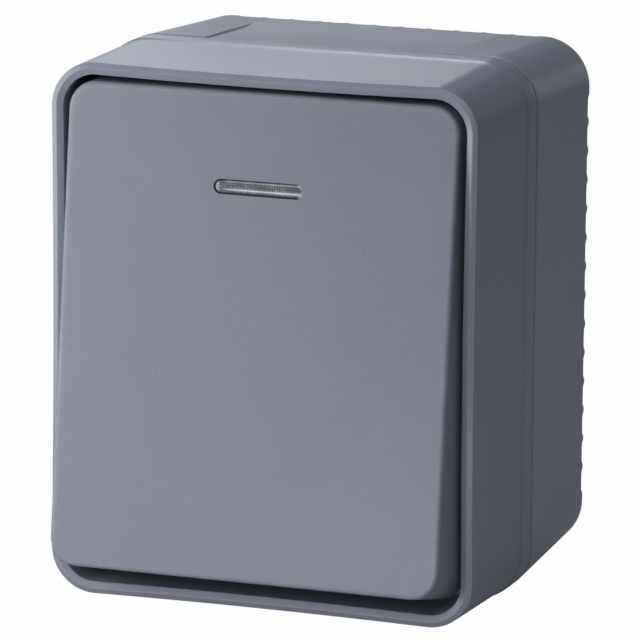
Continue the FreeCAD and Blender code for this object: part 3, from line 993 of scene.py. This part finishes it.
# Look of the rubber
bloom_size = 1.2
bloom_tone = 1.8
rubber_patch_size = 0.3
rubber_roughness = (0.6, 0.85)
rubber_grain_size = 0.25
rubber_strength = 0.3
rubber_relief = 0.015


def rubber(name, colour):
    """Matte rubber with a dusty bloom."""
    shader = Shader(name)
    bloom = shader.noise(bloom_size)
    shader.colour(shader.blend(shader.spread(bloom), colour, scaled(colour, bloom_tone)))
    shader.roughness(shader.spread(shader.noise(rubber_patch_size), *rubber_roughness))
    shader.bump([(shader.noise(rubber_grain_size), rubber_strength, rubber_relief)])
    return shader.material


# Look of the metals
line_size = 0.25
line_strength = 0.25
line_relief = 0.006
line_polish = 0.08
line_dulling = 0.12
stain_size = 2.5
stain_tone = 0.78


def metal(name, colour, roughness, stretch):
    """Drawn or rolled metal with fine lines and a light tarnish."""
    shader = Shader(name)
    lines = shader.noise(line_size, soft_detail, stretch)
    stain = shader.noise(stain_size)
    shader.colour(shader.blend(shader.spread(stain), colour, scaled(colour, stain_tone)))
    shader.roughness(shader.spread(lines, roughness - line_polish, roughness + line_dulling))
    shader.bump([(lines, line_strength, line_relief)])
    shader.fixed("Metallic", 1.0)
    return shader.material


# Look of the lamp's glass
ripple_size = 2.0
ripple_tone = 0.7
ripple_dulling = 0.08
ripple_strength = 0.4
ripple_relief = 0.03
glass_ior = 1.49


def clear(name, colour, transmission, roughness):
    """Clear glass with a faint ripple in its colour and face."""
    shader = Shader(name)
    ripple = shader.noise(ripple_size, soft_detail)
    shader.colour(shader.blend(shader.spread(ripple), colour, scaled(colour, ripple_tone)))
    shader.roughness(shader.spread(ripple, roughness, roughness + ripple_dulling))
    shader.bump([(ripple, ripple_strength, ripple_relief)])
    shader.fixed("Transmission Weight", transmission)
    shader.fixed("IOR", glass_ior)
    return shader.material


# Look of the window
patch_size = 2.5
speck_size = 0.5
patch_cover = (0.2, 1.0)
speck_cover = (0.2, 1.1)
light_cover = (0.7, 1.0)
gap_tone = 0.015
dot_tone = 0.56
shade_tone = 0.07
prism_roughness = (0.12, 0.25)
prism_strength = 0.25
prism_relief = 0.015
prism_transmission = 0.1
prism_coat = 0.2


def prisms(name, colour):
    """Clear moulding over fine prisms, with painted highlights and painted shade in its colour."""
    shader = Shader(name)
    patch = shader.noise(patch_size, soft_detail)
    speck = shader.noise(speck_size, soft_detail)
    dots = shader.product(shader.kept("dot"), shader.spread(patch, *patch_cover))
    dots = shader.product(dots, shader.spread(speck, *speck_cover))
    field = shader.blend(dots, scaled(colour, gap_tone), scaled(colour, dot_tone))
    # Painted highlights lighten the dotted field, and painted shade darkens it
    light = shader.product(shader.kept("light"), shader.spread(patch, *light_cover))
    lit = shader.blend(light, field, colour)
    shader.colour(shader.blend(shader.kept("dark"), lit, scaled(colour, shade_tone)))
    shader.roughness(shader.spread(speck, *prism_roughness))
    shader.bump([(speck, prism_strength, prism_relief)])
    shader.fixed("Transmission Weight", prism_transmission)
    shader.fixed("Coat Weight", prism_coat)
    return shader.material


# Colours
# Housing grey: the plastic's own colour, made lighter than the cover's as painted light for the brighter
# sides of the box
housing_grey = (0.287, 0.302, 0.362)
cover_grey = (0.255, 0.268, 0.323)
rocker_grey = (0.229, 0.24, 0.288)
window_white = (0.85, 0.885, 1.0)
rubber_black = (0.02, 0.02, 0.023)
cradle_black = (0.03, 0.03, 0.034)
base_white = (0.72, 0.71, 0.67)
zinc = (0.62, 0.63, 0.64)
steel = (0.45, 0.45, 0.47)
brass = (0.74, 0.53, 0.22)
silver = (0.82, 0.81, 0.78)
lamp_amber = (0.95, 0.7, 0.5)
tin = (0.66, 0.65, 0.62)
lacquer_tan = (0.5, 0.38, 0.25)

MATERIALS = {
    "grey_housing": moulded("housing_plastic", housing_grey, roughness=0.32, relief=0.006, speckle=0.04),
    "grey_cover": moulded("cover_plastic", cover_grey, roughness=0.29, relief=0.004, speckle=0.03),
    "grey_rocker": moulded("rocker_plastic", rocker_grey, roughness=0.36, relief=0.02, speckle=0.16),
    "clear_lens": prisms("lens_clear", window_white),
    "black_rubber": rubber("seal_rubber", rubber_black),
    "black_plastic": moulded("cradle_plastic", cradle_black, roughness=0.5),
    "white_plastic": moulded("base_plastic", base_white, roughness=0.45),
    "zinc_steel": metal("zinc_plate", zinc, roughness=0.35, stretch=(1, 1, 4)),
    "spring_steel": metal("drawn_wire", steel, roughness=0.3, stretch=(4, 1, 1)),
    "contact_brass": metal("rolled_brass", brass, roughness=0.32, stretch=(1, 6, 1)),
    "silver_contact": metal("silver_face", silver, roughness=0.25, stretch=(1, 1, 1)),
    "lamp_glass": clear("lamp_glass", lamp_amber, transmission=0.85, roughness=0.04),
    "lead_wire": metal("tinned_wire", tin, roughness=0.3, stretch=(1, 5, 1)),
    "resistor_body": moulded("resistor_lacquer", lacquer_tan, roughness=0.25),
}


def finish_piece(piece, body, slot, node):
    """Let a piece ride on its body in place of a CAD node, with its slot and material."""
    piece.data.materials.clear()
    piece.data.materials.append(MATERIALS[slot])
    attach(piece, body)
    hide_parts(node)


def dress_nodes(replaced):
    """Give every CAD node that still shows the material of its slot."""
    for subpart in frame["record"]["subparts"]:
        if subpart["node"] not in replaced:
            for material_slot in frame["nodes"][subpart["node"]].material_slots:
                material_slot.material = MATERIALS[subpart["material_slot"]]


finish_piece(box_shell(), "case", "grey_housing", "back_box")
finish_piece(cover_shell(), "case", "grey_cover", "front_cover")
finish_piece(rocker_plate(), "rocker", "grey_rocker", "rocker")
finish_piece(lens_window(), "rocker", "clear_lens", "rocker_lens")
dress_nodes(("back_box", "front_cover", "rocker", "rocker_lens"))

# Stage, in metres but for the gap below the switch
floor_gap = 0.02
floor_level = -(case_height / 2 + floor_gap) * MM
floor_half = 3.0
floor_colour = (0.41, 0.42, 0.46, 1)
white = (1, 1, 1, 1)
fill_colour = (0.95, 0.97, 1.0, 1)
fill_strength = 0.005

# Shares of white that a ray sees
paper_share = 0.985
world_share = 1.0
mirrored_share = 0.1


def seen(tree, share):
    """A share for rays from the camera or through glass, and a smaller one for reflections."""
    path = tree.nodes.new("ShaderNodeLightPath")
    shares = {"Is Camera Ray": share, "Is Transmission Ray": share, "Is Glossy Ray": mirrored_share}
    total = None
    for ray, part in shares.items():
        node = tree.nodes.new("ShaderNodeMath")
        node.operation = "MULTIPLY_ADD"
        node.use_clamp = True
        node.inputs[1].default_value = part
        node.inputs[2].default_value = 0.0
        tree.links.new(path.outputs[ray], node.inputs[0])
        if total:
            tree.links.new(total, node.inputs[2])
        total = node.outputs["Value"]
    return total


def show_white(tree, share, plain, bright, output):
    """Mix a plain shader, which acts on light, with a white one for the rays that see it."""
    mix = tree.nodes.new("ShaderNodeMixShader")
    tree.links.new(seen(tree, share), mix.inputs["Fac"])
    tree.links.new(plain, mix.inputs[1])
    tree.links.new(bright, mix.inputs[2])
    tree.links.new(mix.outputs["Shader"], output.inputs["Surface"])


def paper():
    """Paper that shows white to the camera, in part to reflections, and takes a faint shadow."""
    material = bpy.data.materials.new("paper")
    material.use_nodes = True
    tree = material.node_tree
    tree.nodes.remove(tree.nodes["Principled BSDF"])
    matte = tree.nodes.new("ShaderNodeBsdfDiffuse")
    matte.inputs["Color"].default_value = floor_colour
    glow = tree.nodes.new("ShaderNodeEmission")
    glow.inputs["Color"].default_value = white
    glow.inputs["Strength"].default_value = 1.0
    show_white(tree, paper_share, matte.outputs["BSDF"], glow.outputs["Emission"],
               tree.nodes["Material Output"])
    return material


def make_floor():
    """Plain pale floor below the switch."""
    mesh = bpy.data.meshes.new("floor")
    corners = [(-floor_half, -floor_half), (floor_half, -floor_half), (floor_half, floor_half),
               (-floor_half, floor_half)]
    mesh.from_pydata([(x, y, floor_level) for x, y in corners], [], [(0, 1, 2, 3)])
    mesh.materials.append(paper())
    floor = linked("floor", mesh)


def make_world():
    """White to the camera and in part to reflections, and a dim even fill for other light."""
    world = bpy.data.worlds.new("studio")
    world.use_nodes = True
    tree = world.node_tree
    fill = tree.nodes["Background"]
    fill.inputs["Color"].default_value = fill_colour
    fill.inputs["Strength"].default_value = fill_strength
    backdrop = tree.nodes.new("ShaderNodeBackground")
    backdrop.inputs["Color"].default_value = white
    show_white(tree, world_share, fill.outputs["Background"], backdrop.outputs["Background"],
               tree.nodes["World Output"])
    bpy.context.scene.world = world


# Lamps: name, place and size in metres, watts and tint
lamp_aim = Vector((0, -0.03, 0))
cool = (0.86, 0.915, 1.0)
plain = (1.0, 1.0, 1.0)
LAMPS = (
    ("overhead", (0.0, -0.03, 1.0), (0.7, 0.6), 4.2, cool),
    ("rear_sheen", (-0.33, 0.75, 0.31), (0.2, 0.1), 0.195, cool),
    ("rear_shoulder", (-0.284, 0.673, 0.572), (0.15, 0.1), 0.42, cool),
    ("rear_left", (-0.36, 0.546, 0.11), (0.2, 0.15), 0.09, cool),
    ("rear_high", (-0.245, 0.772, 0.545), (0.6, 0.35), 0.2, cool),
    ("right_edge", (0.2, 0.93, 0.02), (0.2, 0.3), 0.12, cool),
    ("left_card", (-0.14, -0.14, 0.0), (0.1, 0.2), 0.25, plain),
    ("front_left", (-0.5, -1.1, 0.05), (0.8, 0.8), 2.7, plain),
    ("front_high", (0.1, -1.1, 0.5), (0.8, 0.6), 2.3, plain),
    ("floor_card", (0.02, -0.12, -0.037), (0.12, 0.03), 0.02, plain),
    ("side_card", (0.15, 0.0, -0.036), (0.12, 0.03), 0.007, plain),
)


def softbox(name, place, size, watts, tint):
    """Area lamp aimed at the switch."""
    lamp = bpy.data.lights.new(name, "AREA")
    lamp.shape = "RECTANGLE"
    lamp.size, lamp.size_y = size
    lamp.energy = watts
    lamp.color = tint
    holder = linked(name, lamp)
    holder.location = place
    holder.rotation_euler = (lamp_aim - Vector(place)).to_track_quat("-Z", "Y").to_euler()


# Camera, in metres but for its lens and sensor
camera_azimuth = math.radians(20.458)
camera_elevation = math.radians(11.851)
camera_roll = math.radians(0.524)
camera_distance = 0.946193
camera_target = Vector((-0.001207, -0.025, -0.001771))
camera_lens = 358.765
camera_sensor = 36.0
camera_reach = 20.0


def make_camera():
    """Camera at the photograph's angle."""
    back = Vector((math.sin(camera_azimuth) * math.cos(camera_elevation),
                   -math.cos(camera_azimuth) * math.cos(camera_elevation),
                   math.sin(camera_elevation)))
    level = Vector((math.cos(camera_azimuth), math.sin(camera_azimuth), 0))
    raised = back.cross(level)
    right = math.cos(camera_roll) * level + math.sin(camera_roll) * raised
    upward = math.cos(camera_roll) * raised - math.sin(camera_roll) * level
    lens = bpy.data.cameras.new("camera")
    lens.lens = camera_lens
    lens.sensor_width = camera_sensor
    lens.clip_end = camera_reach
    holder = linked("camera", lens)
    turn = Matrix((right, upward, back)).transposed().to_4x4()
    holder.matrix_world = Matrix.Translation(camera_target + camera_distance * back) @ turn
    bpy.context.scene.camera = holder


make_floor()
make_world()
for lamp_values in LAMPS:
    softbox(*lamp_values)
make_camera()
bpy.context.scene.view_settings.view_transform = "Standard"
